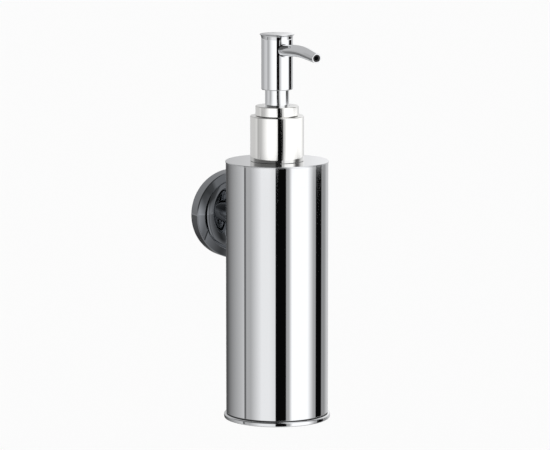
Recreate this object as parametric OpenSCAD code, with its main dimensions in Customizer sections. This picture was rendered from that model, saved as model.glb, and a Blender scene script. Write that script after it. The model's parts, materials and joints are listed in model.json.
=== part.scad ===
// Wall mounted soap dispenser: a chromed case on a wall rosette, with a bottle inside it and a
// press pump on top. +Z is up and -Y points away from the wall. The origin is the centre of the
// wall plate's back face, where it lies on the wall.

/* [Case] */
// Outside diameter of the case tube
case_d = 55; // [50:1:70]
// Height from the underside of the base cap to the upper face of the top plate
case_h = 140; // [116:1:175]
// Wall thickness of the case tube
case_wall = 1; // [0.8:0.1:1.4]
// Thickness of the top plate
plate_t = 0.8; // [0.6:0.1:2.5]
// How far the top plate's rim stands proud of the tube
plate_lip = 0.3; // [0.1:0.1:0.6]
// How far the base ring stands proud of the tube
base_lip = 1.2; // [0.6:0.1:2]
// Height of the base ring
base_ring_h = 2.6; // [2:0.1:4]
// Height of the shadow groove between the base ring and the tube
groove_h = 0.5; // [0.3:0.1:1]
// Depth of the shadow groove
groove_depth = 0.8; // [0.4:0.1:1.2]
// Height of the plug that the base cap pushes into the tube
base_plug_h = 5; // [4:0.5:8]

/* [Wall mount] */
// Height from the centre of the rosette up to the upper face of the top plate
mount_drop = 36; // [16:1:70]
// Distance from the wall to the nearest point of the case
standoff = 32; // [26:0.5:45]
// Outside diameter of the rosette
rosette_d = 49; // [40:1:60]
// Depth of the rosette from the wall to its front rim
rosette_depth = 9.5; // [8.5:0.5:13]
// Sheet thickness of the rosette
rosette_wall = 1.4; // [1:0.1:1.7]
// Width of the flat ring around the front of the rosette
rosette_rim = 4.6; // [3.6:0.1:6]
// Depth of the recessed floor behind the rosette's front ring
rosette_recess = 3; // [2:0.5:3.5]
// Diameter of the neck between the rosette and the case
neck_d = 14.6; // [12:0.2:18]
// How far the neck's foot stands proud of the neck
foot_lip = 2.2; // [1.4:0.1:4]
// Thickness of the neck's foot
foot_t = 1.6; // [1:0.1:3]
// Wall thickness of the neck around the wall plate's post
post_wall = 1.9; // [1.2:0.1:2.4]
// Length of the post in front of the wall plate
post_len = 14; // [12:0.5:16]
// Radial room between the wall plate and the rosette around it
wall_plate_room = 3.1; // [2:0.1:5]
// Thickness of the wall plate
wall_plate_t = 2.6; // [2:0.1:3]
// Distance from the wall plate's edge to the centre of a wall screw hole
screw_inset = 6.5; // [4:0.5:8]
// Diameter of a wall screw hole
screw_hole_d = 4.5; // [3.5:0.1:5]

/* [Arm fixing] */
// Diameter of the bolt that holds the case on the neck
bolt_d = 5; // [4:0.5:6]
// Gap between the end of the bolt and the end of the wall plate's post
bolt_end_gap = 5.4; // [2:0.2:7]
// How far the bolt head stands proud of the bolt
bolt_head_lip = 2; // [1.5:0.1:2.5]
// Height of the bolt head
bolt_head_h = 2.4; // [2:0.1:3]
// Thickness of the saddle plate at its centre
saddle_t = 1.5; // [1.3:0.1:1.8]
// How far the saddle plate reaches past the bolt head on each side
saddle_lip = 2; // [1:0.1:2.5]
// Diameter of the grub screw under the neck
grub_d = 4; // [3:0.5:5]

/* [Bottle] */
// Radial room between the bolt head and the bottle
bottle_room = 1.1; // [0.8:0.1:3]
// Wall thickness of the bottle
bottle_wall = 1.2; // [0.8:0.1:1.6]
// Height of the bottle's sloping shoulder
shoulder_h = 9; // [6:0.5:12]
// Radial room between the pump's cylinder and the bottle's mouth
mouth_room = 1.6; // [0.6:0.1:2]
// Wall thickness of the bottle's mouth
mouth_wall = 1.8; // [1.2:0.1:2.4]
// Height of the mouth above the top plate
mouth_h = 12; // [9:0.5:15]
// How far the flange under the top plate stands proud of the mouth
flange_lip = 3.5; // [2:0.5:4]

/* [Pump] */
// Wall thickness of the nut inside the collar
nut_wall = 1.5; // [1:0.1:3]
// Height of the collar
collar_h = 24; // [20:0.5:30]
// Thickness of the collar's metal skin
skin_t = 0.6; // [0.4:0.1:0.8]
// How far the guide cap, the step above the collar, stands out over its own skirt
guide_lip = 1.7; // [1:0.1:2.5]
// Height of the guide cap above the collar
guide_h = 5.2; // [4:0.1:7]
// Outside diameter of the stem sleeve
sleeve_d = 12.8; // [10.8:0.1:15.6]
// Gap left between the head and the guide cap when the pump is pressed
stop_gap = 0.6; // [0.4:0.1:4]
// Stroke of the pump
stroke = 8; // [5:0.5:10]
// Bore of the pump barrel
barrel_bore = 10.8; // [9:0.1:13]
// Wall thickness of the pump barrel
barrel_wall = 1.4; // [1:0.1:1.6]
// Outside diameter of the plunger stem
stem_d = 6; // [5.2:0.1:7]
// Height of the piston
piston_h = 7; // [6:0.5:8]
// Length of the spring at rest
spring_len = 22; // [20:0.5:26]
// Wire diameter of the spring
wire_d = 0.9; // [0.7:0.1:1.1]
// Number of turns of the spring
spring_turns = 7; // [5:1:8]
// Diameter of the inlet valve ball
inlet_ball_d = 4; // [3.4:0.1:4.8]
// Diameter of the outlet valve ball
outlet_ball_d = 3; // [2.6:0.1:3.6]
// Outside diameter of the dip tube
dip_tube_d = 5; // [4.2:0.1:6]
// Wall thickness of the dip tube
dip_tube_wall = 0.8; // [0.5:0.1:1]
// Gap between the dip tube's end and the bottle's floor
dip_gap = 3; // [2:0.5:8]

/* [Head] */
// How far the pump head stands proud of the stem sleeve
head_step = 2.05; // [1.65:0.05:4]
// Height of the pump head under its cap
head_h = 27; // [23:0.5:34]
// Wall thickness of the head's metal shell
head_wall = 1.2; // [0.8:0.1:1.4]
// How far the head's cap stands proud of the head
cap_lip = 0.8; // [0.6:0.05:1.5]
// Height of the head's cap
cap_h = 3.2; // [2.6:0.1:4]
// Depth that the sleeve goes into the head
sleeve_grip = 10; // [7:0.5:12]
// Depth that the stem goes into the head
stem_grip = 16; // [13:0.5:17]

/* [Spout] */
// Height from the top of the head shell down to the spout's top, at the pump's axis
spout_cover = 3; // [2:0.1:5]
// Angle that the spout rises as it leaves the head
spout_rise = 5; // [0:0.5:8]
// Diameter of the spout where it leaves the head
spout_root_d = 6.4; // [5.6:0.1:7.6]
// Diameter of the spout through its bend
spout_bend_d = 6.2; // [5.4:0.1:7]
// Diameter of the spout at its tip
spout_tip_d = 5.2; // [4.4:0.1:6]
// Distance from the pump's axis to the start of the bend, along the spout
spout_straight = 20; // [14:1:30]
// Radius of the bend along the spout's axis
bend_r = 95; // [50:1:120]
// Angle that the bend turns the spout down
bend_angle = 12; // [5:1:20]
// Straight tapered length after the bend
tip_len = 9; // [6:0.5:14]
// Wall thickness of the spout around its liner
tip_wall = 0.4; // [0.3:0.05:0.6]
// Wall thickness of the liner in the spout's mouth
liner_wall = 0.5; // [0.4:0.05:0.7]

/* [Fits] */
// Radial clearance of a sliding or turning fit
run_gap = 0.08; // [0.05:0.01:0.1]
// Radial clearance of a loose turning part
loose_gap = 0.3; // [0.2:0.05:0.4]
// Gap between faces that turn over each other
face_gap = 0.3; // [0.2:0.1:0.5]

/* [Hidden] */
$fn = 96;
over = 1;                  // how far a cutting shape runs past what it cuts

// Case, as radii and as heights above the underside of the base cap
case_r = case_d / 2;
tube_bore_r = case_r - case_wall;
tube_foot_h = base_ring_h + groove_h;
plate_under_h = case_h - plate_t;
plate_spigot_h = 3;        // depth of the top plate's spigot in the tube
plate_spigot_wall = 1.2;
plug_top_h = tube_foot_h + base_plug_h;
plug_wall = 2.6;
base_floor_h = 2.2;        // upper face of the base cap's floor, where the bottle stands
base_bevel = 0.5;
seal_d = 1.7;
seal_h = tube_foot_h + base_plug_h / 2;

// Wall mount, as radii and as distances in front of the wall
mount_h = case_h - mount_drop;
axis_reach = standoff + case_r;
rosette_r = rosette_d / 2;
rim_inner_r = rosette_r - rosette_rim;
floor_y = rosette_depth - rosette_recess;
wall_gap = 0.2;            // between the rosette's edge and the wall
edge_round = 0.8;
neck_r = neck_d / 2;
spigot_r = neck_r - 0.4;
spigot_gap = 0.1;          // between the neck's spigot and the rosette's hole
post_r = spigot_r - post_wall;
post_end_y = wall_plate_t + post_len;
wall_plate_r = rosette_r - rosette_wall - wall_plate_room;
screw_reach = wall_plate_r - screw_inset;
grub_y = post_end_y - 5;
grub_depth = 0.4;          // how far the grub screw's end lies inside the neck
grub_bite = 0.35;          // how far the grub screw's tip wraps the post
hex_key = 3;
saddle_face = tube_bore_r - saddle_t;   // distance of the saddle's flat face from the case axis
bolt_head_face = saddle_face - bolt_head_h;
bolt_head_r = bolt_d / 2 + bolt_head_lip;
bolt_reach = axis_reach - post_end_y - bolt_end_gap;   // from the case axis to the bolt's end

// Pump, from the sleeve outwards
sleeve_r = sleeve_d / 2;
sleeve_wall = 1;
sleeve_room_r = sleeve_r + 0.8;
housing_wall = 1.4;
housing_r = sleeve_room_r + housing_wall;
upstand_r = sleeve_room_r + 1.2;
skirt_r = upstand_r + 1.5;
skirt_room_r = skirt_r + loose_gap;
guide_r = skirt_r + guide_lip;
mouth_bore_r = housing_r + mouth_room;
mouth_r = mouth_bore_r + mouth_wall;
thread_r = mouth_r + loose_gap;
nut_r = thread_r + nut_wall;
collar_r = nut_r + skin_t;

// Bottle, as radii and as heights above the underside of the base cap
bottle_r = bolt_head_face - bottle_room;
flange_t = 1.6;
flange_r = mouth_r + flange_lip;
throat_r = mouth_r + 1;    // of the bottle between its shoulder and its flange
throat_h = 3;
shoulder_top_h = plate_under_h - flange_t - throat_h;
shoulder_foot_h = shoulder_top_h - shoulder_h;
mouth_top_h = case_h + mouth_h;
bottle_floor_h = base_floor_h + bottle_wall;
foot_bevel = 2;
mouth_hole_r = mouth_r + 0.3;

// Pump, as heights above the underside of the base cap
gasket_t = 1;
housing_flange_r = mouth_r - 0.2;
housing_flange_h = mouth_top_h + gasket_t;
guide_foot_h = housing_flange_h + 1.6;
collar_foot_h = case_h + face_gap;
collar_top_h = collar_foot_h + collar_h;
guide_step_h = collar_top_h + face_gap / 2;
guide_top_h = guide_step_h + guide_h;
guide_bearing_t = 3;       // length of the hole that guides the sleeve
upstand_h = 3.5;
head_foot_h = guide_top_h + stroke + stop_gap;
head_top_h = head_foot_h + head_h;
sleeve_foot_h = guide_foot_h + 2.4;
sleeve_top_h = head_foot_h + sleeve_grip;
sleeve_room_h = sleeve_foot_h - stroke - 1.5;
barrel_r = barrel_bore / 2;
piston_top_h = sleeve_room_h - 4;
piston_foot_h = piston_top_h - piston_h;
chamber_floor_h = piston_foot_h - spring_len;
stem_r = stem_d / 2;
stem_bore_r = 1.3;
channel_r = 1.2;           // of the way from the stem's bore to the spout
stem_seat_h = piston_foot_h + 3;
stem_top_h = head_foot_h + stem_grip;
valve_room_r = outlet_ball_d / 2 + 0.5;
valve_room_h = 4;
outlet_hole_r = 1.1;
inlet_hole_r = 1.5;
seat_gap = 0.02;
inlet_ball_h = chamber_floor_h + ball_rise(inlet_ball_d / 2, inlet_hole_r) + seat_gap;
outlet_ball_h = stem_seat_h + ball_rise(outlet_ball_d / 2, outlet_hole_r) + seat_gap;
dip_r = dip_tube_d / 2;
dip_top_h = chamber_floor_h - 2;
dip_foot_h = bottle_floor_h + dip_gap;
socket_r = dip_r + 1.3;
socket_len = 8;
spring_gap = 0.35;         // between the spring and the barrel
spring_seat = 0.05;        // between the spring's ends and what they press on

// Head and spout
head_r = sleeve_r + head_step;
head_bevel = 0.6;
core_r = head_r - head_wall;
core_foot_h = head_foot_h + 2;
cap_r = head_r + cap_lip;
cap_edge_r = 0.4;          // radius of the cap's round edge
crown_rise = 0.3;          // of the cap's top above its edge
crown_inset = 3.6;         // from the cap's edge to where its top levels out
crown_drop = 0.1;
root_r = spout_root_d / 2;
waist_r = spout_bend_d / 2;
tip_r = spout_tip_d / 2;
spout_h = head_top_h - root_r - spout_cover;
spout_seat = 3.6;          // distance of the spout's inner end from the pump's axis
root_land = 0.6;           // length of the root that is straight outside the head
lap = 1;                   // overlap of the tip with the bend
tip_step = 0.08;           // step between the bend and the tip
liner_r = tip_r - tip_wall;
liner_len = 4;
liner_set_back = 0.4;
bore_r = liner_r - liner_wall;

// Height of a ball's centre above the edge of the round seat that it rests on
function ball_rise(ball_r, seat_r) = sqrt(ball_r * ball_r - seat_r * seat_r);

// Moves a piece from the case axis and base to its place in front of the wall
module at_case() {
    translate([0, -axis_reach, -mount_h]) children();
}

// Stands a turned piece of the wall mount out from the wall, with its Z along -Y
module from_wall() {
    rotate([90, 0, 0]) children();
}

// A ring or a disc with its lower face at height h
module ring(outer_r, inner_r, h, t) {
    translate([0, 0, h]) difference() {
        cylinder(r = outer_r, h = t);
        if (inner_r > 0) translate([0, 0, -over]) cylinder(r = inner_r, h = t + 2 * over);
    }
}

// A round pin along +Y from the distance y0 to y1, at height h
module pin_y(r, y0, y1, h) {
    translate([0, y0, h]) rotate([-90, 0, 0]) cylinder(r = r, h = y1 - y0);
}

// Places its children at the two wall screw positions
module screw_places() {
    for (side = [-1, 1]) translate([side * screw_reach, 0, 0]) children();
}

module wall_plate() {
    color("silver") from_wall() difference() {
        union() {
            cylinder(r = wall_plate_r, h = wall_plate_t);
            cylinder(r = post_r, h = post_end_y);
        }
        screw_places() translate([0, 0, -over])
            cylinder(d = screw_hole_d, h = wall_plate_t + 2 * over);
    }
}

// The cover cup on the wall: a side band, a flat front ring, and a floor recessed behind it
module rosette() {
    wall = rosette_wall;
    color("gainsboro") from_wall() rotate_extrude() polygon([
        [rosette_r, wall_gap],
        [rosette_r, rosette_depth - edge_round],
        [rosette_r - edge_round, rosette_depth],
        [rim_inner_r + edge_round / 2, rosette_depth],
        [rim_inner_r, rosette_depth - edge_round / 2],
        [rim_inner_r, floor_y],
        [spigot_r + spigot_gap, floor_y],
        [spigot_r + spigot_gap, floor_y - wall],
        [rim_inner_r + wall, floor_y - wall],
        [rim_inner_r + wall, rosette_depth - wall],
        [rosette_r - wall, rosette_depth - wall],
        [rosette_r - wall, wall_gap]
    ]);
}

// The arm: a spigot through the rosette, a foot on its floor, and a shank cut to the case's curve
module neck() {
    color("gainsboro") difference() {
        from_wall() {
            translate([0, 0, wall_plate_t]) cylinder(r = spigot_r, h = floor_y);
            translate([0, 0, floor_y]) cylinder(r = neck_r + foot_lip, h = foot_t);
            translate([0, 0, floor_y]) cylinder(r = neck_r, h = axis_reach - floor_y);
        }
        from_wall() cylinder(r = post_r, h = post_end_y);
        at_case() cylinder(r = case_r, h = case_h);
        at_case() pin_y(bolt_d / 2, 0, bolt_reach, mount_h);
        translate([0, -grub_y, -neck_d]) cylinder(d = grub_d, h = neck_d);
    }
}

// The screw under the neck that locks it on the wall plate's post
module grub_screw() {
    foot_z = -neck_r + grub_depth;
    tip_z = -post_r + grub_bite;
    color("dimgray") translate([0, -grub_y, 0]) difference() {
        translate([0, 0, foot_z]) cylinder(d = grub_d, h = tip_z - foot_z);
        from_wall() translate([0, 0, -grub_d]) cylinder(r = post_r, h = 2 * grub_d);
        translate([0, 0, foot_z - over]) cylinder(d = grub_d / 2, h = 1 + over, $fn = 6);
    }
}

// The bolt from inside the case, through the saddle plate and the tube, into the neck
module arm_bolt() {
    color("dimgray") at_case() difference() {
        union() {
            pin_y(bolt_head_r, bolt_head_face, saddle_face, mount_h);
            pin_y(bolt_d / 2, bolt_head_face, bolt_reach, mount_h);
        }
        translate([0, bolt_head_face - over, mount_h]) rotate([-90, 0, 0])
            cylinder(d = hex_key, h = bolt_head_h / 2 + over, $fn = 6);
    }
}

// The plate that spreads the bolt's load: round outside like the tube, flat under the bolt head
module saddle_plate() {
    half_w = bolt_head_r + saddle_lip;
    color("silver") at_case() difference() {
        intersection() {
            cylinder(r = tube_bore_r, h = case_h);
            translate([-half_w, saddle_face, mount_h - half_w])
                cube([2 * half_w, saddle_t + over, 2 * half_w]);
        }
        pin_y(bolt_d / 2, 0, case_r, mount_h);
    }
}

module case_tube() {
    color("gainsboro") at_case() difference() {
        ring(case_r, tube_bore_r, tube_foot_h, plate_under_h - tube_foot_h);
        pin_y(bolt_d / 2, 0, case_d, mount_h);
    }
}

// The flat lid of the case, with a short spigot inside the tube and a hole for the bottle's mouth
module top_plate() {
    color("gainsboro") at_case() {
        ring(case_r + plate_lip, mouth_hole_r, plate_under_h, plate_t);
        ring(tube_bore_r, tube_bore_r - plate_spigot_wall,
            plate_under_h - plate_spigot_h, plate_spigot_h);
    }
}

// The plug that closes the case from below, with the base ring that shows outside
module base_cap() {
    ring_r = case_r + base_lip;
    color("gainsboro") at_case() rotate_extrude() difference() {
        polygon([
            [0, 0],
            [ring_r - base_bevel, 0],
            [ring_r, base_bevel],
            [ring_r, base_ring_h - base_bevel],
            [ring_r - base_bevel, base_ring_h],
            [case_r - groove_depth, base_ring_h],
            [case_r - groove_depth, tube_foot_h],
            [tube_bore_r, tube_foot_h],
            [tube_bore_r, plug_top_h],
            [tube_bore_r - plug_wall, plug_top_h],
            [tube_bore_r - plug_wall, base_floor_h],
            [0, base_floor_h]
        ]);
        translate([tube_bore_r - seal_d, seal_h - seal_d / 2]) square([seal_d + over, seal_d]);
    }
}

// The rubber ring in the plug's groove
module base_seal() {
    color("black") at_case() translate([0, 0, seal_h])
        rotate_extrude() translate([tube_bore_r - seal_d / 2, 0]) circle(d = seal_d, $fn = 32);
}

// The plastic bottle: it stands on the base cap, and its flange meets the top plate from below
module bottle() {
    wall = bottle_wall;
    color("ivory", 0.8) at_case() rotate_extrude() polygon([
        [0, base_floor_h],
        [bottle_r - foot_bevel, base_floor_h],
        [bottle_r, base_floor_h + foot_bevel],
        [bottle_r, shoulder_foot_h],
        [throat_r, shoulder_top_h],
        [throat_r, plate_under_h - flange_t],
        [flange_r, plate_under_h - flange_t],
        [flange_r, plate_under_h],
        [mouth_r, plate_under_h],
        [mouth_r, mouth_top_h],
        [mouth_bore_r, mouth_top_h],
        [mouth_bore_r, shoulder_top_h - wall],
        [bottle_r - wall, shoulder_foot_h - wall],
        [bottle_r - wall, bottle_floor_h + foot_bevel],
        [bottle_r - wall - foot_bevel, bottle_floor_h],
        [0, bottle_floor_h]
    ]);
}

// The pump's cylinder: a flange over the bottle's mouth, room for the sleeve, the piston's
// barrel, and the socket of the dip tube
module pump_housing() {
    room_foot_h = sleeve_room_h - housing_wall;
    color("white") at_case() difference() {
        union() {
            ring(housing_flange_r, 0, housing_flange_h, guide_foot_h - housing_flange_h);
            ring(upstand_r, 0, guide_foot_h, upstand_h);
            ring(housing_r, 0, room_foot_h, housing_flange_h - room_foot_h);
            ring(barrel_r + barrel_wall, 0, dip_top_h, sleeve_room_h - dip_top_h);
            ring(socket_r, 0, dip_top_h - socket_len, socket_len);
        }
        translate([0, 0, sleeve_room_h]) cylinder(r = sleeve_room_r, h = case_h);
        translate([0, 0, chamber_floor_h]) cylinder(r = barrel_r, h = case_h);
        translate([0, 0, dip_top_h - over]) cylinder(r = inlet_hole_r, h = case_h);
        translate([0, 0, dip_top_h - socket_len - over]) cylinder(r = dip_r, h = socket_len + over);
    }
}

module mouth_gasket() {
    color("dimgray") at_case()
        ring(housing_flange_r, housing_r, mouth_top_h, gasket_t);
}

// The narrower step above the collar: it grips the housing and guides the sleeve
module guide_cap() {
    color("gainsboro") at_case() difference() {
        union() {
            ring(guide_r, 0, guide_step_h, guide_h);
            ring(skirt_r, 0, guide_foot_h, guide_step_h - guide_foot_h + over);
        }
        translate([0, 0, guide_foot_h - over])
            cylinder(r = upstand_r, h = upstand_h + over);
        translate([0, 0, guide_foot_h])
            cylinder(r = sleeve_room_r, h = guide_top_h - guide_bearing_t - guide_foot_h);
        translate([0, 0, guide_foot_h])
            cylinder(r = sleeve_r + run_gap, h = case_h);
    }
}

module dip_tube() {
    color("white", 0.7) at_case() ring(dip_r, dip_r - dip_tube_wall, dip_foot_h, dip_top_h - dip_foot_h);
}

// The coil under the piston, swept as a round wire along a helix
module return_spring() {
    wire_r = wire_d / 2;
    mean_r = barrel_r - wire_r - spring_gap;
    steps = 20;
    sides = 8;
    foot_h = chamber_floor_h + wire_r + spring_seat;
    rise = spring_len - wire_d - 2 * spring_seat;
    count = spring_turns * steps;
    points = [
        for (i = [0 : count]) let (a = 360 * i / steps, z = foot_h + rise * i / count)
            for (j = [0 : sides - 1]) let (b = 360 * j / sides, r = mean_r + wire_r * cos(b))
                [r * cos(a), r * sin(a), z + wire_r * sin(b)]
    ];
    walls = [
        for (i = [0 : count - 1]) for (j = [0 : sides - 1]) let (k = (j + 1) % sides)
            [i * sides + j, (i + 1) * sides + j, (i + 1) * sides + k, i * sides + k]
    ];
    start_face = [for (j = [0 : sides - 1]) j];
    end_face = [for (j = [sides - 1 : -1 : 0]) count * sides + j];
    color("silver") at_case() polyhedron(points, concat([start_face], walls, [end_face]));
}

module inlet_ball() {
    color("silver") at_case() translate([0, 0, inlet_ball_h]) sphere(d = inlet_ball_d);
}

// The plastic nut inside the collar, which screws on the bottle's mouth
module closure_insert() {
    color("whitesmoke") at_case() difference() {
        ring(nut_r, 0, collar_foot_h, collar_h - skin_t);
        translate([0, 0, collar_foot_h - over])
            cylinder(r = thread_r, h = guide_foot_h + face_gap / 2 - collar_foot_h + over);
        cylinder(r = skirt_room_r, h = 2 * case_h);
    }
}

// The bright metal skin of the collar
module collar_shell() {
    color("gainsboro") at_case() {
        ring(collar_r, nut_r, collar_foot_h, collar_h);
        ring(nut_r, skirt_room_r, collar_top_h - skin_t, skin_t);
    }
}

module piston() {
    color("white") at_case() difference() {
        ring(barrel_r - run_gap, outlet_hole_r, piston_foot_h, piston_h);
        translate([0, 0, stem_seat_h]) cylinder(r = stem_r + run_gap, h = piston_h);
    }
}

module outlet_ball() {
    color("silver") at_case() translate([0, 0, outlet_ball_h]) sphere(d = outlet_ball_d);
}

// The hollow rod from the piston to the head, with a wider room for the outlet ball
module plunger_stem() {
    foot_h = stem_seat_h + seat_gap;
    color("white") at_case() difference() {
        ring(stem_r, stem_bore_r, foot_h, stem_top_h - foot_h);
        translate([0, 0, foot_h - over]) cylinder(r = valve_room_r, h = valve_room_h + over);
    }
}

module stem_sleeve() {
    color("gainsboro") at_case()
        ring(sleeve_r, sleeve_r - sleeve_wall, sleeve_foot_h, sleeve_top_h - sleeve_foot_h);
}

// The plastic core of the head: it holds the sleeve, the stem and the spout's root
module head_core() {
    color("whitesmoke") at_case() difference() {
        ring(core_r, 0, core_foot_h, head_top_h - core_foot_h);
        translate([0, 0, core_foot_h - over])
            cylinder(r = sleeve_r, h = sleeve_top_h - core_foot_h + over);
        translate([0, 0, core_foot_h]) cylinder(r = stem_r, h = stem_top_h - core_foot_h);
        translate([0, 0, core_foot_h])
            cylinder(r = stem_bore_r, h = spout_h + stem_bore_r - core_foot_h);
        at_spout() pin_y(channel_r, -head_r, 0, 0);
        at_spout() pin_y(root_r, -2 * head_r, -spout_seat, 0);
    }
}

module head_shell() {
    color("gainsboro") at_case() difference() {
        rotate_extrude() polygon([
            [core_r, head_foot_h],
            [head_r - head_bevel, head_foot_h],
            [head_r, head_foot_h + head_bevel],
            [head_r, head_top_h],
            [core_r, head_top_h]
        ]);
        at_spout() pin_y(root_r, -2 * head_r, 0, 0);
    }
}

// The disc on the head: a cove under a thin round rim, and a slightly domed top
module head_cap() {
    crown_h = head_top_h + cap_h;
    edge_h = crown_h - crown_rise - cap_edge_r;
    edge_middle_r = cap_r - cap_edge_r;
    cove_w = cap_lip - cap_edge_r;
    cove_h = cap_h - crown_rise - 2 * cap_edge_r;
    color("gainsboro") at_case() rotate_extrude() polygon(concat(
        [[0, head_top_h]],
        [for (a = [0 : 15 : 90]) [edge_middle_r - cove_w * cos(a), head_top_h + cove_h * sin(a)]],
        [for (a = [-60 : 30 : 60]) [edge_middle_r + cap_edge_r * cos(a), edge_h + cap_edge_r * sin(a)]],
        [[cap_r - crown_inset, crown_h - crown_drop], [0, crown_h]]
    ));
}

// Places its children on the pump's axis at the spout's root, with -Y pointing out along the spout
module at_spout() {
    translate([0, 0, spout_h]) rotate([-spout_rise, 0, 0]) children();
}

// The spout along -Y: a root pin, a slight taper, a bend and a tapered tip, which starts inside
// the bend with the radius tip_root
module spout_run(root, waist, tip_root, tip, start_y) {
    pin_y(root, -head_r - root_land, -start_y, 0);
    translate([0, -head_r, 0]) rotate([90, 0, 0])
        cylinder(r1 = root, r2 = waist, h = spout_straight - head_r);
    translate([0, -spout_straight, -bend_r]) rotate([180, -90, 0])
        rotate_extrude(angle = bend_angle) translate([bend_r, 0]) circle(r = waist);
    at_tip() translate([0, 0, -lap]) cylinder(r1 = tip_root, r2 = tip, h = tip_len + lap);
}

// Places its children at the end of the bend, with +Z pointing out along the tip
module at_tip() {
    translate([0, -spout_straight - bend_r * sin(bend_angle), -bend_r * (1 - cos(bend_angle))])
        rotate([90 + bend_angle, 0, 0]) children();
}

module spout() {
    color("gainsboro") at_case() at_spout() difference() {
        spout_run(root_r, waist_r, waist_r - tip_step, tip_r, spout_seat);
        spout_run(bore_r, bore_r, bore_r + tip_step, bore_r + tip_step, 0);
        at_tip() translate([0, 0, tip_len - liner_len])
            cylinder(r = liner_r, h = liner_len + over);
    }
}

// The dark plastic liner in the mouth of the spout
module nozzle_sleeve() {
    color("black") at_case() at_spout() at_tip() translate([0, 0, tip_len - liner_len]) difference() {
        cylinder(r = liner_r, h = liner_len - liner_set_back);
        translate([0, 0, -over]) cylinder(r = bore_r - liner_wall, h = liner_len + over);
    }
}

wall_plate();
rosette();
neck();
grub_screw();
arm_bolt();
saddle_plate();
case_tube();
top_plate();
base_cap();
base_seal();
bottle();
pump_housing();
mouth_gasket();
guide_cap();
dip_tube();
return_spring();
inlet_ball();
closure_insert();
collar_shell();
piston();
outlet_ball();
plunger_stem();
stem_sleeve();
head_core();
head_shell();
head_cap();
spout();
nozzle_sleeve();
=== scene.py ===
"""Looks of the wall mounted soap dispenser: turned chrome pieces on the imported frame, in a white studio.

Places come from the frame.
"""

import json
import math

import bpy
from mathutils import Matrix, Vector


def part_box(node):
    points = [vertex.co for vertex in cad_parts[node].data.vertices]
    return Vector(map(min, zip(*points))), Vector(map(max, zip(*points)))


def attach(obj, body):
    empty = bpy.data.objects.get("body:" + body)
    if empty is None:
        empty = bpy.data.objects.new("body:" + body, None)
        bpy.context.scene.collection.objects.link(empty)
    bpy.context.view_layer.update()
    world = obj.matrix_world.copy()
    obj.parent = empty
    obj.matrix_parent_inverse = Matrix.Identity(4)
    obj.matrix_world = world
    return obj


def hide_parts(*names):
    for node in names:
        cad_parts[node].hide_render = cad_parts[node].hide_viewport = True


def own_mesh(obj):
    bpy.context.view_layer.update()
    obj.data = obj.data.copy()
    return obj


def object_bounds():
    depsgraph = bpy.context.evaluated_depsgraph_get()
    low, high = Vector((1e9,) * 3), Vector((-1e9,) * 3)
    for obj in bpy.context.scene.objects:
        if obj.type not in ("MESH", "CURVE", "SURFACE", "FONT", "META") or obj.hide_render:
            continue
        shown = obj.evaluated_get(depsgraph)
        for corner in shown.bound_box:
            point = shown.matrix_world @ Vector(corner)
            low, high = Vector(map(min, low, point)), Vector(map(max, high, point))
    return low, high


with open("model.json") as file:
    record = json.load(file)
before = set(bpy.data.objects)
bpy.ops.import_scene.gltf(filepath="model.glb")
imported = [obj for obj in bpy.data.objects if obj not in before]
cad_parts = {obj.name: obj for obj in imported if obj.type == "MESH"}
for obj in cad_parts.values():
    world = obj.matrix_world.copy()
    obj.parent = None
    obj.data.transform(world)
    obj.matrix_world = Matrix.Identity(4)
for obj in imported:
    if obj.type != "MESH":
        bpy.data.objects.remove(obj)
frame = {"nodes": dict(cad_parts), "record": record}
CAD_BOX = [list(corner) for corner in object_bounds()]
MM = 0.001
ON_AXIS = 1e-6  # a smaller radius in mm is a point on the axis
TURN_STEPS = 160  # facets round a turned piece
FILLET_STEPS = 6  # facets round a rounded edge
FILLET_SHARE = 0.499  # the most of a straight side that a rounded edge takes up


# ---------------------------------------------------------------- places from the frame, in mm


def node_box(node):
    """Lowest and highest corner of a CAD node, in mm."""
    low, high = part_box(node)
    return low / MM, high / MM


def upright(node):
    """Outer radius, foot and top of a CAD node that is turned round the case axis, in mm."""
    low, high = node_box(node)
    return (high.x - low.x) / 2, low.z, high.z


AXIS_Y = sum(corner.y for corner in node_box("case_tube")) / 2


# ---------------------------------------------------------------- turned meshes


class Straight:
    """A straight axis from a point in mm, along a direction."""

    def __init__(self, origin, along, side):
        self.origin = Vector(origin)
        self.along = Vector(along)
        self.side = Vector(side)
        self.up = self.along.cross(self.side)

    def at(self, distance):
        return self.origin + self.along * distance, self.along, self.side, self.up


UPRIGHT = Straight((0, AXIS_Y, 0), (0, 0, 1), (1, 0, 0))
OUT_OF_WALL = Straight((0, 0, 0), (0, -1, 0), (1, 0, 0))


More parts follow.
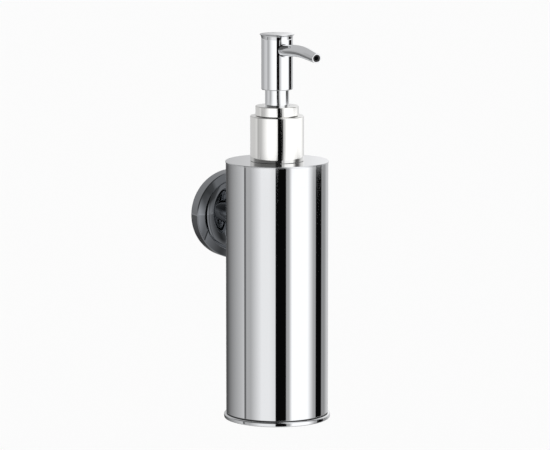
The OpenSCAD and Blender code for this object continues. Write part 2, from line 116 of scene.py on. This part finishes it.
def rounded(corners, closed=True):
    """The outline through corners (r, z, fillet), as (r, z, normal before, normal after).

    The outline runs up the outside, so that its right-hand side is the outside."""
    count = len(corners)
    outline = []
    for i, (r, z, fillet) in enumerate(corners):
        here = Vector((r, z))
        before = (here - Vector(corners[i - 1][:2])) if closed or i else Vector((0, 0))
        after = (Vector(corners[(i + 1) % count][:2]) - here) if closed or i < count - 1 else Vector((0, 0))
        if before.length < 1e-9:
            before = after
        if after.length < 1e-9:
            after = before
        reach = min(before.length, after.length) * FILLET_SHARE
        way_in, way_out = before.normalized(), after.normalized()
        out_in = Vector((way_in.y, -way_in.x))
        out_out = Vector((way_out.y, -way_out.x))
        bend = math.atan2(way_in.x * way_out.y - way_in.y * way_out.x, way_in.dot(way_out))
        if fillet <= 0 or abs(bend) < 1e-4:
            outline.append((r, z, out_in, out_out))
            continue
        tangent = min(fillet * math.tan(abs(bend) / 2), reach)
        radius = tangent / math.tan(abs(bend) / 2)
        turn = 1 if bend > 0 else -1
        centre = here - way_in * tangent - out_in * radius * turn
        for k in range(FILLET_STEPS + 1):
            a = bend * k / FILLET_STEPS
            out = Vector((
                out_in.x * math.cos(a) - out_in.y * math.sin(a),
                out_in.x * math.sin(a) + out_in.y * math.cos(a),
            ))
            point = centre + out * radius * turn
            outline.append((point.x, point.y, out, out))
    return outline


def smooth_run(points):
    """Outline points (r, z) of a curved stretch, each with the normal of the curve there."""
    run = []
    for i, (r, z) in enumerate(points):
        r0, z0 = points[max(i - 1, 0)]
        r1, z1 = points[min(i + 1, len(points) - 1)]
        way = Vector((r1 - r0, z1 - z0)).normalized()
        out = Vector((way.y, -way.x))
        run.append((r, z, out, out))
    return run


def turned(name, outline, axis=UPRIGHT, steps=TURN_STEPS):
    """A mesh turned from an outline round an axis, with exact normals, so that reflections run true."""
    places, rings = [], []
    for r, z, _, _ in outline:
        origin, along, side, up = axis.at(z)
        if r < ON_AXIS:
            rings.append([len(places)] * steps)
            places.append(origin * MM)
            continue
        rings.append(list(range(len(places), len(places) + steps)))
        for j in range(steps):
            a = 2 * math.pi * j / steps
            places.append((origin + (side * math.cos(a) + up * math.sin(a)) * r) * MM)
    faces, normals = [], []
    for i in range(len(outline)):
        k = (i + 1) % len(outline)
        (r0, _, _, out0), (r1, _, out1, _) = outline[i], outline[k]
        if r0 < ON_AXIS and r1 < ON_AXIS:
            continue
        for j in range(steps):
            n = (j + 1) % steps
            face, face_normals = [], []
            for ring, turn, out in ((i, j, out0), (i, n, out0), (k, n, out1), (k, j, out1)):
                vertex = rings[ring][turn]
                if vertex in face:
                    continue
                _, along, side, up = axis.at(outline[ring][1])
                a = 2 * math.pi * turn / steps
                face.append(vertex)
                face_normals.append(along * out.y + (side * math.cos(a) + up * math.sin(a)) * out.x)
            if len(face) > 2:
                faces.append(face)
                normals.extend(face_normals)
    return mesh_piece(name, places, faces, normals)


def mesh_piece(name, places, faces, normals):
    """A smooth mesh with a normal of its own for each corner of each face."""
    mesh = bpy.data.meshes.new(name)
    mesh.from_pydata([tuple(p) for p in places], [], faces)
    mesh.polygons.foreach_set("use_smooth", [True] * len(mesh.polygons))
    mesh.normals_split_custom_set([tuple(n.normalized()) for n in normals])
    mesh.update()
    piece = bpy.data.objects.new(name, mesh)
    bpy.context.scene.collection.objects.link(piece)
    return piece


def finished(piece, body, slot, *nodes):
    """Gives a piece its material, the body it rides on, and the CAD nodes it stands for."""
    piece.data.materials.append(MATERIALS[slot])
    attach(piece, body)
    if nodes:
        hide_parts(*nodes)


# ---------------------------------------------------------------- materials

NOISE_LOW, NOISE_HIGH = 0.3, 0.7  # most of a noise pattern lies between these


def principled(name, color, roughness, metallic=0.0):
    material = bpy.data.materials.new(name)
    material.use_nodes = True
    shader = material.node_tree.nodes["Principled BSDF"]
    shader.inputs["Base Color"].default_value = (*color, 1)
    shader.inputs["Roughness"].default_value = roughness
    shader.inputs["Metallic"].default_value = metallic
    return material, shader


def noise(material, scale, detail=3.0, stretch=(1, 1, 1)):
    """A noise pattern fixed to the object, stretched along its axes."""
    nodes, links = material.node_tree.nodes, material.node_tree.links
    place = nodes.new("ShaderNodeTexCoord")
    mapping = nodes.new("ShaderNodeMapping")
    mapping.inputs["Scale"].default_value = stretch
    pattern = nodes.new("ShaderNodeTexNoise")
    pattern.inputs["Scale"].default_value = scale
    pattern.inputs["Detail"].default_value = detail
    links.new(place.outputs["Object"], mapping.inputs["Vector"])
    links.new(mapping.outputs["Vector"], pattern.inputs["Vector"])
    return pattern


def spread(material, pattern, low, high, socket):
    """Drives a socket from low to high with the pattern."""
    nodes, links = material.node_tree.nodes, material.node_tree.links
    span = nodes.new("ShaderNodeMapRange")
    span.inputs["From Min"].default_value = NOISE_LOW
    span.inputs["From Max"].default_value = NOISE_HIGH
    span.inputs["To Min"].default_value = low
    span.inputs["To Max"].default_value = high
    links.new(pattern.outputs["Fac"], span.inputs["Value"])
    links.new(span.outputs["Result"], socket)


def bump(material, shader, pattern, distance, strength):
    nodes, links = material.node_tree.nodes, material.node_tree.links
    relief = nodes.new("ShaderNodeBump")
    relief.inputs["Strength"].default_value = strength
    relief.inputs["Distance"].default_value = distance
    links.new(pattern.outputs["Fac"], relief.inputs["Height"])
    links.new(relief.outputs["Normal"], shader.inputs["Normal"])


def chrome(name, color, roughness=0.02):
    """Mirror plate, with faint wipe marks in its roughness."""
    material, shader = principled(name, color, roughness, 1.0)
    wipes = noise(material, scale=45, detail=4.0, stretch=(1, 1, 0.25))
    spread(material, wipes, roughness, roughness + 0.02, shader.inputs["Roughness"])
    return material


def plastic(name, color, roughness):
    """Moulded plastic or rubber, with a fine grain."""
    material, shader = principled(name, color, roughness)
    grain = noise(material, scale=900)
    spread(material, grain, roughness, roughness + 0.12, shader.inputs["Roughness"])
    bump(material, shader, grain, distance=0.00002, strength=0.4)
    return material


def metal(name, color, roughness):
    """Bare metal, with a satin grain."""
    material, shader = principled(name, color, roughness, 1.0)
    grain = noise(material, scale=700, detail=5.0)
    spread(material, grain, roughness, roughness + 0.2, shader.inputs["Roughness"])
    bump(material, shader, grain, distance=0.00003, strength=0.5)
    return material


MATERIALS = {
    "chrome": chrome("chrome", (0.86, 0.87, 0.88)),
    # chrome_wall is the same chrome, darkened and cooled: painted shade for the dark surroundings that the
    # rosette mirrors
    "chrome_wall": chrome("chrome_wall", (0.275, 0.285, 0.3), roughness=0.0),
    "chrome_collar": chrome("chrome_collar", (0.93, 0.925, 0.9)),
    "zinc": metal("zinc", (0.55, 0.56, 0.57), 0.35),
    "steel": metal("steel", (0.6, 0.6, 0.6), 0.25),
    "spring_steel": metal("spring_steel", (0.62, 0.62, 0.63), 0.2),
    "bottle_plastic": plastic("bottle_plastic", (0.86, 0.87, 0.85), 0.4),
    "pump_plastic": plastic("pump_plastic", (0.9, 0.9, 0.89), 0.3),
    "tube_plastic": plastic("tube_plastic", (0.85, 0.87, 0.87), 0.25),
    "nozzle_plastic": plastic("nozzle_plastic", (0.02, 0.02, 0.02), 0.35),
    "seal_rubber": plastic("seal_rubber", (0.03, 0.03, 0.03), 0.6),
}
for part in frame["record"]["subparts"]:
    for place in frame["nodes"][part["node"]].material_slots:
        place.material = MATERIALS[part["material_slot"]]


# ---------------------------------------------------------------- the case

TUBE_SHEET = 1
LID_SHEET = 0.8
LID_SKIRT = 1.2
LID_HOLE = 12.3  # radius, round the bottle's neck
BASE_RING_HEIGHT = 2.6
BASE_GROOVE_DEPTH = 0.8
BASE_WALL = 2.6
BASE_FLOOR = 2.2
BASE_RIM = 6  # width of the foot round the hollow under the base
BASE_HOLLOW = 0.6


def case_pieces():
    """The tube and its lid, and the base with a dark ring of painted shadow in the groove over its ring."""
    r, foot, top = upright("case_tube")
    bore = r - TUBE_SHEET
    tube = turned("case_skin", rounded([
        (r, foot, 0.25), (r, top, 0.1), (bore, top, 0.1), (bore, foot, 0.1),
    ]))
    finished(tube, "case", "chrome", "case_tube")

    lid_r, lid_foot, lid_top = upright("top_plate")
    plate_foot = lid_top - LID_SHEET
    skirt = bore - LID_SKIRT
    lid = turned("case_lid", rounded([
        (bore, lid_foot, 0.1), (bore, plate_foot, 0), (lid_r, plate_foot, 0.2), (lid_r, lid_top, 0.45),
        (LID_HOLE, lid_top, 0.25), (LID_HOLE, plate_foot, 0.1), (skirt, plate_foot, 0),
        (skirt, lid_foot, 0.1),
    ]))
    finished(lid, "case", "chrome", "top_plate")

    cap_r, cap_foot, cap_top = upright("base_cap")
    ring_top = cap_foot + BASE_RING_HEIGHT
    groove_r = r - BASE_GROOVE_DEPTH
    wall_r = bore - BASE_WALL
    hollow_r = cap_r - BASE_RIM
    hollow_z = cap_foot + BASE_HOLLOW
    base = turned("base_ring", rounded([
        (0, hollow_z, 0), (hollow_r, hollow_z, 0.3), (hollow_r - BASE_HOLLOW, cap_foot, 0.3),
        (cap_r, cap_foot, 0.7), (cap_r, ring_top, 0.8), (groove_r, ring_top, 0.1), (groove_r, foot, 0),
        (bore, foot, 0), (bore, cap_top, 0.3), (wall_r, cap_top, 0.3), (wall_r, cap_foot + BASE_FLOOR, 0.3),
        (0, cap_foot + BASE_FLOOR, 0),
    ]))
    finished(base, "case", "chrome", "base_cap")
    # A black ring in the groove, in the seal rubber's black: painted shadow where the groove lies in shade.
    groove_shadow_r = r - 0.1
    groove_shadow = turned("base_groove_painted_shadow", rounded([
        (groove_r, ring_top, 0), (groove_shadow_r, ring_top, 0.1), (groove_shadow_r, foot, 0.1), (groove_r, foot, 0),
    ]))
    finished(groove_shadow, "case", "seal_rubber")


# ---------------------------------------------------------------- the rosette

ROSETTE_SHEET = 1.4
ROSETTE_RING = 4.6  # width of the ring round the dome
ROSETTE_LEAN = 1.0  # how far the ring's outer edge lies behind its inner edge
ROSETTE_RECESS = 3  # from the ring down to the dome's edge
ROSETTE_HOLE = 7  # radius, under the neck's foot
DOME_EDGE_SLOPE = math.radians(28)
DOME_SLOPE = math.radians(2.5)
DOME_EDGE_POWER = 6  # a higher power keeps the steep part closer to the edge
DOME_STEPS = 60


def domed(edge_r, inner_r, foot):
    """Outline of a low dome from its edge inwards, which falls away steeply at its edge."""
    step = (edge_r - inner_r) / DOME_STEPS
    height = foot
    outline = []
    for k in range(DOME_STEPS + 1):
        reach = (edge_r - k * step) / edge_r
        slope = DOME_EDGE_SLOPE * reach ** DOME_EDGE_POWER + DOME_SLOPE * reach
        out = Vector((math.sin(slope), math.cos(slope)))
        outline.append((reach * edge_r, height, out, out))
        height += math.tan(slope) * step
    return outline


def wall_pieces():
    """The rosette: a ring that leans back a little, round a low dome."""
    low, high = node_box("rosette")
    r = (high.x - low.x) / 2
    depth = -low.y
    gap = -high.y
    shoulder = depth - ROSETTE_LEAN
    ring_r = r - ROSETTE_RING
    floor_z = depth - ROSETTE_RECESS
    inner_r = r - ROSETTE_SHEET
    inner_shoulder = shoulder - ROSETTE_SHEET
    inner_floor = floor_z - ROSETTE_SHEET
    front = rounded([
        (inner_r, gap, 0.3), (r, gap, 0.3), (r, shoulder, 0.6), (ring_r, depth, 0.4),
        (ring_r, floor_z, 0), (ROSETTE_HOLE, floor_z, 0),
    ], closed=False)[1:-1]
    back = rounded([
        (ROSETTE_HOLE, inner_floor, 0.1), (ring_r - ROSETTE_SHEET, inner_floor, 0.3),
        (ring_r + ROSETTE_SHEET, inner_shoulder, 0.3), (inner_r, inner_shoulder, 0.3), (inner_r, gap, 0),
    ], closed=False)
    cup = turned("wall_rosette", front + domed(ring_r, ROSETTE_HOLE, floor_z) + back, OUT_OF_WALL)
    # the rosette's chrome is darkened as painted shade
    finished(cup, "case", "chrome_wall", "rosette")


# ---------------------------------------------------------------- the collar and the guide

COLLAR_SHEET = 0.6
COLLAR_DROP = 0.2  # how far the skin reaches below the CAD's collar, to the lid
COLLAR_HOLE = 10.2  # radius, round the guide's neck
GUIDE_NECK = 9.9  # radius, inside the collar
GUIDE_BORE = 8.4  # radius at the guide's foot
GUIDE_GAP = 0.15  # over the collar
GUIDE_ROOF = 3  # thickness round the sleeve
GUIDE_STEP = 3.5  # height of the guide's foot, under the wider room round the sleeve
SLEEVE_SLIP = 0.08  # the guide's clearance round the sleeve at its roof
SLEEVE_ROOM = 0.8  # and below it


def collar_pieces():
    """The collar's skin, and the guide that stands in it round the stem."""
    r, foot, top = upright("collar_shell")
    foot -= COLLAR_DROP
    inner_r = r - COLLAR_SHEET
    inner_top = top - COLLAR_SHEET
    skin = turned("collar_skin", rounded([
        (r, foot, 0.2), (r, top, 0.45), (COLLAR_HOLE, top, 0.15), (COLLAR_HOLE, inner_top, 0.1),
        (inner_r, inner_top, 0.2), (inner_r, foot, 0.1),
    ]))
    finished(skin, "collar", "chrome_collar", "collar_shell")

    guide_r, guide_foot, guide_top = upright("guide_cap")
    sleeve_r = upright("stem_sleeve")[0]
    step = top + GUIDE_GAP
    roof = guide_top - GUIDE_ROOF
    widening = guide_foot + GUIDE_STEP
    slip_r = sleeve_r + SLEEVE_SLIP
    room_r = sleeve_r + SLEEVE_ROOM
    guide = turned("guide_step", rounded([
        (GUIDE_NECK, guide_foot, 0.1), (GUIDE_NECK, step, 0), (guide_r, step, 0.1), (guide_r, guide_top, 0.4),
        (slip_r, guide_top, 0.3), (slip_r, roof, 0.1), (room_r, roof, 0.1), (room_r, widening, 0),
        (GUIDE_BORE, widening, 0), (GUIDE_BORE, guide_foot, 0.1),
    ]))
    finished(guide, "pump", "chrome_collar", "guide_cap")


# ---------------------------------------------------------------- the head

SLEEVE_SHEET = 1
BARREL_SHEET = 1.2
CAP_EDGE_R = 0.4
CAP_CROWN = 0.3


def arc(centre_r, centre_z, width, height, degrees):
    """Points of an ellipse's arc at the given degrees, from outwards towards up."""
    turns = [math.radians(d) for d in degrees]
    return [(centre_r + width * math.cos(a), centre_z + height * math.sin(a)) for a in turns]


def head_pieces():
    """The stem's sleeve, the head's barrel, and its cap with a cove under a round edge and a low crown."""
    sleeve_r, sleeve_foot, sleeve_top = upright("stem_sleeve")
    sleeve_bore = sleeve_r - SLEEVE_SHEET
    sleeve = turned("stem_tube", rounded([
        (sleeve_r, sleeve_foot, 0.2), (sleeve_r, sleeve_top, 0.2), (sleeve_bore, sleeve_top, 0.1),
        (sleeve_bore, sleeve_foot, 0.1),
    ]))
    finished(sleeve, "head", "chrome", "stem_sleeve")

    r, foot, top = upright("head_shell")
    bore = r - BARREL_SHEET
    shell = turned("head_barrel", rounded([(r, foot, 0.8), (r, top, 0), (bore, top, 0), (bore, foot, 0.2)]))
    finished(shell, "head", "chrome", "head_shell")

    cap_r, cap_foot, cap_top = upright("head_cap")
    middle_r = cap_r - CAP_EDGE_R
    middle_z = cap_top - CAP_CROWN - CAP_EDGE_R
    cove = arc(middle_r, cap_foot, r - middle_r, middle_z - CAP_EDGE_R - cap_foot, range(0, 90, 10))
    edge = arc(middle_r, middle_z, CAP_EDGE_R, CAP_EDGE_R, range(-75, 90, 15))
    crown_r, crown_z = edge[-1]
    crown = arc(0, crown_z, crown_r - 0.1, cap_top - crown_z, range(10, 100, 10))
    down = Vector((0, -1))
    cap = turned("head_disc", [(0, cap_foot, down, down)] + smooth_run(cove + edge + crown))
    finished(cap, "head", "chrome", "head_cap")


# ---------------------------------------------------------------- the spout

SPOUT_BELOW_CAP = 3  # of the shell, over the spout's root
SPOUT_START = 3.6  # from the head's axis, inside its shell
SPOUT_WAIST_R = 3.1
SPOUT_TIP_R = 2.6
SPOUT_BORE_R = 1.9
SPOUT_CHANNEL_R = 1.7
SPOUT_LIP = 0.35
SPOUT_TAPER = 6  # how far before the end of the bend the tip's taper starts
SPOUT_STEPS = 56
SPOUT_SIDES = 96
BEAD_R = 0.22
BEAD_STEPS = 96
BEAD_SIDES = 10


class SpoutAxis:
    """The spout's centre line: it rises from the head, bends down, and ends in a straight tip."""

    rise = math.radians(5)
    straight = 20.0
    bend_r = 95.0
    bend = math.radians(12)
    tip = 9.0
    bend_end = straight + bend_r * bend
    length = bend_end + tip

    def __init__(self, root):
        self.root = Vector(root)

    def at(self, distance):
        turn = min(max((distance - self.straight) / self.bend_r, 0), self.bend)
        past = max(distance - self.bend_end, 0)
        run = min(distance, self.straight) + self.bend_r * math.sin(turn) + past * math.cos(turn)
        drop = self.bend_r * (1 - math.cos(turn)) + past * math.sin(turn)
        out = Vector((0, -math.cos(self.rise), math.sin(self.rise)))
        over = Vector((0, math.sin(self.rise), math.cos(self.rise)))
        along = out * math.cos(turn) - over * math.sin(turn)
        side = Vector((1, 0, 0))
        return self.root + out * run - over * drop, along, side, along.cross(side)


def spout_pipe(line, root_r):
    """The tapered pipe, open at its mouth."""
    end = line.length
    taper_start = line.bend_end - SPOUT_TAPER

    def radius(s):
        if s < line.straight:
            return root_r + (SPOUT_WAIST_R - root_r) * s / line.straight
        t = min(max((s - taper_start) / (end - taper_start), 0), 1)
        return SPOUT_WAIST_R + (SPOUT_TIP_R - SPOUT_WAIST_R) * t * t * (2 - t)

    span = end - SPOUT_LIP - SPOUT_START
    stations = [SPOUT_START + span * k / SPOUT_STEPS for k in range(SPOUT_STEPS + 1)]
    outside = smooth_run([(radius(s), s) for s in stations])
    mouth = rounded([
        (SPOUT_TIP_R, end - SPOUT_LIP, 0), (SPOUT_TIP_R, end, 0.3), (SPOUT_BORE_R, end, 0.25),
        (SPOUT_BORE_R, end - 5, 0),
    ], closed=False)[1:]
    inward = Vector((-1, 0))
    channel = [(SPOUT_CHANNEL_R, s, inward, inward) for s in (end - 7, SPOUT_START)]
    pipe = turned("spout_pipe", outside + mouth + channel, line, SPOUT_SIDES)
    finished(pipe, "head", "chrome", "spout")


def tube_rings(centres, ways_out, ways_across, tube_r, sides):
    """Vertices and their normals, ring after ring, of a round tube."""
    places, normals = [], []
    for centre, out, across in zip(centres, ways_out, ways_across):
        for j in range(sides):
            b = 2 * math.pi * j / sides
            normal = out * math.cos(b) + across * math.sin(b)
            normals.append(normal)
            places.append((centre + normal * tube_r) * MM)
    return places, normals


def spout_bead(line, root_r, head_r):
    """The thin round bead where the spout meets the head's shell."""
    root, out, side, over = line.at(0)
    centres = []
    for k in range(BEAD_STEPS):
        a = 2 * math.pi * k / BEAD_STEPS
        point = root + side * root_r * math.cos(a) + over * root_r * math.sin(a)
        reach = math.sqrt(head_r ** 2 - point.x ** 2)
        centres.append(point + out * ((reach + point.y - AXIS_Y) / -out.y))
    ways_out, ways_across = [], []
    for k, centre in enumerate(centres):
        way = (centres[(k + 1) % BEAD_STEPS] - centres[k - 1]).normalized()
        away = (centre - Vector((0, AXIS_Y, centre.z))).normalized()
        across = way.cross(away).normalized()
        ways_across.append(across)
        ways_out.append(across.cross(way).normalized())
    places, normals = tube_rings(centres, ways_out, ways_across, BEAD_R, BEAD_SIDES)
    faces = []
    for k in range(BEAD_STEPS):
        for j in range(BEAD_SIDES):
            n = (k + 1) % BEAD_STEPS
            m = (j + 1) % BEAD_SIDES
            faces.append([k * BEAD_SIDES + j, n * BEAD_SIDES + j, n * BEAD_SIDES + m, k * BEAD_SIDES + m])
    bead = mesh_piece("spout_root_bead", places, faces, [normals[i] for face in faces for i in face])
    finished(bead, "head", "chrome")


def spout_pieces():
    low, high = node_box("spout")
    root_r = (high.x - low.x) / 2
    head_r, _, head_top = upright("head_shell")
    line = SpoutAxis((0, AXIS_Y, head_top - root_r - SPOUT_BELOW_CAP))
    spout_pipe(line, root_r)
    spout_bead(line, root_r, head_r)


# ---------------------------------------------------------------- the spring

SPRING_WIRE = 0.9
SPRING_TURNS = 7
SPRING_STEPS = 48  # facets along one turn of the wire
SPRING_SIDES = 12


def spring_pieces():
    """The pump's return spring as round wire."""
    low, high = node_box("return_spring")
    wire_r = SPRING_WIRE / 2
    coil_r = (high.x - low.x) / 2 - wire_r
    rise = high.z - low.z - SPRING_WIRE
    angle = 2 * math.pi * SPRING_TURNS
    count = SPRING_TURNS * SPRING_STEPS
    centres, ways_out, ways_over = [], [], []
    for k in range(count + 1):
        a = angle * k / count
        out = Vector((math.cos(a), math.sin(a), 0))
        way = Vector((-math.sin(a), math.cos(a), rise / (angle * coil_r))).normalized()
        centres.append(Vector((0, AXIS_Y, low.z + wire_r + rise * k / count)) + out * coil_r)
        ways_out.append(out)
        ways_over.append(out.cross(way))
    places, ring_normals = tube_rings(centres, ways_out, ways_over, wire_r, SPRING_SIDES)
    faces = []
    for k in range(1, count + 1):
        for j in range(SPRING_SIDES):
            m = (j + 1) % SPRING_SIDES
            before, here = (k - 1) * SPRING_SIDES, k * SPRING_SIDES
            faces.append([before + j, before + m, here + m, here + j])
    normals = [ring_normals[i] for face in faces for i in face]
    for end, way in ((0, -1), (count, 1)):
        ring = [end * SPRING_SIDES + j for j in range(SPRING_SIDES)]
        faces.append(ring[::way])
        a = angle * end / count
        normals.extend([Vector((-math.sin(a), math.cos(a), 0)) * way] * SPRING_SIDES)
    coil = mesh_piece("return_coil", places, faces, normals)
    finished(coil, "pump", "spring_steel", "return_spring")
    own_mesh(coil)


case_pieces()
wall_pieces()
collar_pieces()
head_pieces()
spout_pieces()
spring_pieces()


# ---------------------------------------------------------------- camera, in metres

VIEW_TURN = math.radians(-25)
VIEW_RISE = math.radians(8.67)
VIEW_DISTANCE = 1.8
TARGET_ABOVE_BASE = 0.105
AIM_LEFT = 0.0011  # how far the aim lies to the left of the case's axis
FOCAL_PER_WIDTH = 6.0902  # focal length over the width of the picture
SENSOR_WIDTH = 36


def camera():
    data = bpy.data.cameras.new("camera")
    data.sensor_width = SENSOR_WIDTH
    data.lens = SENSOR_WIDTH * FOCAL_PER_WIDTH
    data.clip_start = 0.05
    data.clip_end = 50
    eye = bpy.data.objects.new("camera", data)
    bpy.context.scene.collection.objects.link(eye)
    back = Vector((
        math.sin(VIEW_TURN) * math.cos(VIEW_RISE),
        -math.cos(VIEW_TURN) * math.cos(VIEW_RISE),
        math.sin(VIEW_RISE),
    ))
    right = Vector((math.cos(VIEW_TURN), math.sin(VIEW_TURN), 0))
    target = Vector((0, AXIS_Y * MM, CAD_BOX[0][2] + TARGET_ABOVE_BASE)) - right * AIM_LEFT
    eye.location = target + back * VIEW_DISTANCE
    eye.rotation_mode = "QUATERNION"
    eye.rotation_quaternion = (-back).to_track_quat("-Z", "Y")
    bpy.context.scene.camera = eye


# ---------------------------------------------------------------- studio

# Bands of light round the object, as (degrees, tone). The degrees go round from the camera, plus on the
# picture's right. A tone goes from black at 0 to white at 1, as the eye sees it, and blends into the next.
FLAG = 0.03  # tone of a black flag between the light panels
CASE_BANDS = [
    (-180, 0.45), (-160, 0.3), (-150, 0.3), (-120, 0.55), (-90, 0.7), (-80, 0.75), (-79, 0.35), (-75, 0.35),
    (-74, 0.65), (-62, 0.65), (-35, 0.9), (-18, 0.9), (-4, 0.85), (-3, FLAG), (20, FLAG), (21, 0.6),
    (27, 0.65), (34, 1), (73, 1), (90, 0.65), (97, 0.6), (98, FLAG), (119, FLAG), (120, 0.55), (134, 0.55),
    (150, 0.75), (180, 0.75),
]
COLLAR_BANDS = [
    (-180, 0.75), (-115, 0.75), (-96, 0.8), (-91, 0.65), (-84, 0.65), (-80, 0.7), (-72, 0.7), (-40, 1),
    (-18, 1), (2, 0.95), (3, FLAG), (26, FLAG), (27, 0.7), (32, 0.75), (42, 1), (125, 1), (150, 0.8), (180, 0.8),
]
HEAD_BANDS = [
    (-180, 0.65), (-117, 0.65), (-104, 0.75), (-83, 0.8), (-76, 0.7), (-64, 0.65), (-40, 0.95), (-25, 1),
    (-4, 1), (-3, FLAG), (16, FLAG), (17, 0.7), (25, 0.8), (36, 1), (84, 1), (95, 0.85), (99, FLAG),
    (127, FLAG), (128, 0.7), (180, 0.8),
]
UPPER_BANDS = [
    (-180, 0.8), (-179, 0.65), (-175, 0.7), (-125, 0.7), (-110, 0.45), (-70, 0.35), (-10, 0.35), (-3, 0.1),
    (20, 0.1), (21, 0.7), (28, 0.7), (36, 0.95), (70, 1), (88, 0.35), (104, 0.35), (125, 0.8), (160, 0.9),
    (179, 0.95), (180, 0.8),
]
UPPER_START = -5  # degrees above level where the upper bands start to show
UPPER_GAIN = 0.09  # and their share for each degree above that
LOW_START = -25  # degrees above level where the light from below starts
LOW_GAIN = 0.05
LOW_SHARE = 0.7
LOW_LIGHT = (0.6, 0.6, 0.6, 1)
WHITE = (1, 1, 1, 1)
CHROME_SHARE = 0.86  # the share of light that chrome sends back
COOL = 1.01  # blue light over red and green
FLOOR_HALF = 20
FLOOR_DROP = 0.15  # under the object, which hangs on a wall


def linear(tone):
    """The light that gives a tone from 0 to 1 in an sRGB picture."""
    return tone / 12.92 if tone <= 0.04045 else ((tone + 0.055) / 1.055) ** 2.4


def ramp(tree, around, bands):
    """The colour of the bands; around goes from 0 to 1 as the degrees go from -180 to 180."""
    node = tree.nodes.new("ShaderNodeValToRGB")
    elements = node.color_ramp.elements
    elements.remove(elements[0])
    for i, (degrees, tone) in enumerate(bands):
        position = (degrees + 180) / 360
        element = elements.new(position) if i else elements[0]
        element.position = position
        light = linear(tone) / CHROME_SHARE
        element.color = (light, light, light * COOL, 1)
    tree.links.new(around, node.inputs["Fac"])
    return node.outputs["Color"]


def give(tree, socket, value):
    """Sets a socket to a value, or links it to another node's socket."""
    if isinstance(value, bpy.types.NodeSocket):
        tree.links.new(value, socket)
    else:
        socket.default_value = value


def math_node(tree, operation, *values, clamp=False):
    node = tree.nodes.new("ShaderNodeMath")
    node.operation = operation
    node.use_clamp = clamp
    for socket, value in zip(node.inputs, values):
        give(tree, socket, value)
    return node.outputs[0]


def mixed(tree, first, second, share):
    """The first colour, going over to the second as share goes from 0 to 1."""
    node = tree.nodes.new("ShaderNodeMix")
    node.data_type = "RGBA"
    for name, value in (("A", first), ("B", second), ("Factor", share)):
        give(tree, node.inputs[name], value)
    return node.outputs["Result"]


def mirrored_rise(height):
    """Degrees above level of what the camera sees in an upright mirror at a height in mm."""
    eye_height = CAD_BOX[0][2] + TARGET_ABOVE_BASE + VIEW_DISTANCE * math.sin(VIEW_RISE)
    return math.degrees(math.atan2(height * MM - eye_height, VIEW_DISTANCE * math.cos(VIEW_RISE)))


def studio_world():
    """Soft light all round. Only reflections see the bands; the camera and rough surfaces see white.

    The case reflects the lowest bands, the collar and the head the next two, and flat tops the upper ones."""
    world = bpy.data.worlds.new("studio")
    bpy.context.scene.world = world
    world.use_nodes = True
    tree = world.node_tree
    place = tree.nodes.new("ShaderNodeTexCoord")
    turn = tree.nodes.new("ShaderNodeVectorRotate")
    turn.rotation_type = "Z_AXIS"
    turn.inputs["Angle"].default_value = math.pi / 2 - VIEW_TURN
    split = tree.nodes.new("ShaderNodeSeparateXYZ")
    tree.links.new(place.outputs["Generated"], turn.inputs["Vector"])
    tree.links.new(turn.outputs["Vector"], split.inputs["Vector"])
    angle = math_node(tree, "ARCTAN2", split.outputs["Y"], split.outputs["X"])
    around = math_node(tree, "ADD", math_node(tree, "DIVIDE", angle, 2 * math.pi), 0.5)
    rise = math_node(tree, "MULTIPLY", math_node(tree, "ARCSINE", split.outputs["Z"]), 180 / math.pi)

    light = ramp(tree, around, CASE_BANDS)
    for lower_piece, bands in (("top_plate", COLLAR_BANDS), ("guide_cap", HEAD_BANDS)):
        above = math_node(tree, "GREATER_THAN", rise, mirrored_rise(upright(lower_piece)[2]))
        light = mixed(tree, light, ramp(tree, around, bands), above)
    upwards = math_node(tree, "SUBTRACT", rise, UPPER_START)
    upwards = math_node(tree, "MULTIPLY", upwards, UPPER_GAIN, clamp=True)
    light = mixed(tree, light, ramp(tree, around, UPPER_BANDS), upwards)
    downwards = math_node(tree, "SUBTRACT", LOW_START, rise)
    downwards = math_node(tree, "MULTIPLY", downwards, LOW_GAIN, clamp=True)
    light = mixed(tree, light, LOW_LIGHT, math_node(tree, "MULTIPLY", downwards, LOW_SHARE))
    glossy = tree.nodes.new("ShaderNodeLightPath").outputs["Is Glossy Ray"]
    tree.links.new(mixed(tree, WHITE, light, glossy), tree.nodes["Background"].inputs["Color"])


def floor():
    """A plain pale floor, which reflections don't see."""
    low = CAD_BOX[0][2] - FLOOR_DROP
    corners = [(x * FLOOR_HALF, y * FLOOR_HALF, low) for x, y in ((-1, -1), (1, -1), (1, 1), (-1, 1))]
    mesh = bpy.data.meshes.new("floor")
    mesh.from_pydata(corners, [], [(0, 1, 2, 3)])
    slab = bpy.data.objects.new("floor", mesh)
    bpy.context.scene.collection.objects.link(slab)
    material, shader = principled("floor", (0.97, 0.97, 0.97), 0.9)
    shader.inputs["Specular IOR Level"].default_value = 0
    mesh.materials.append(material)
    slab.visible_glossy = False


camera()
studio_world()
floor()
bpy.context.scene.view_settings.view_transform = "Standard"
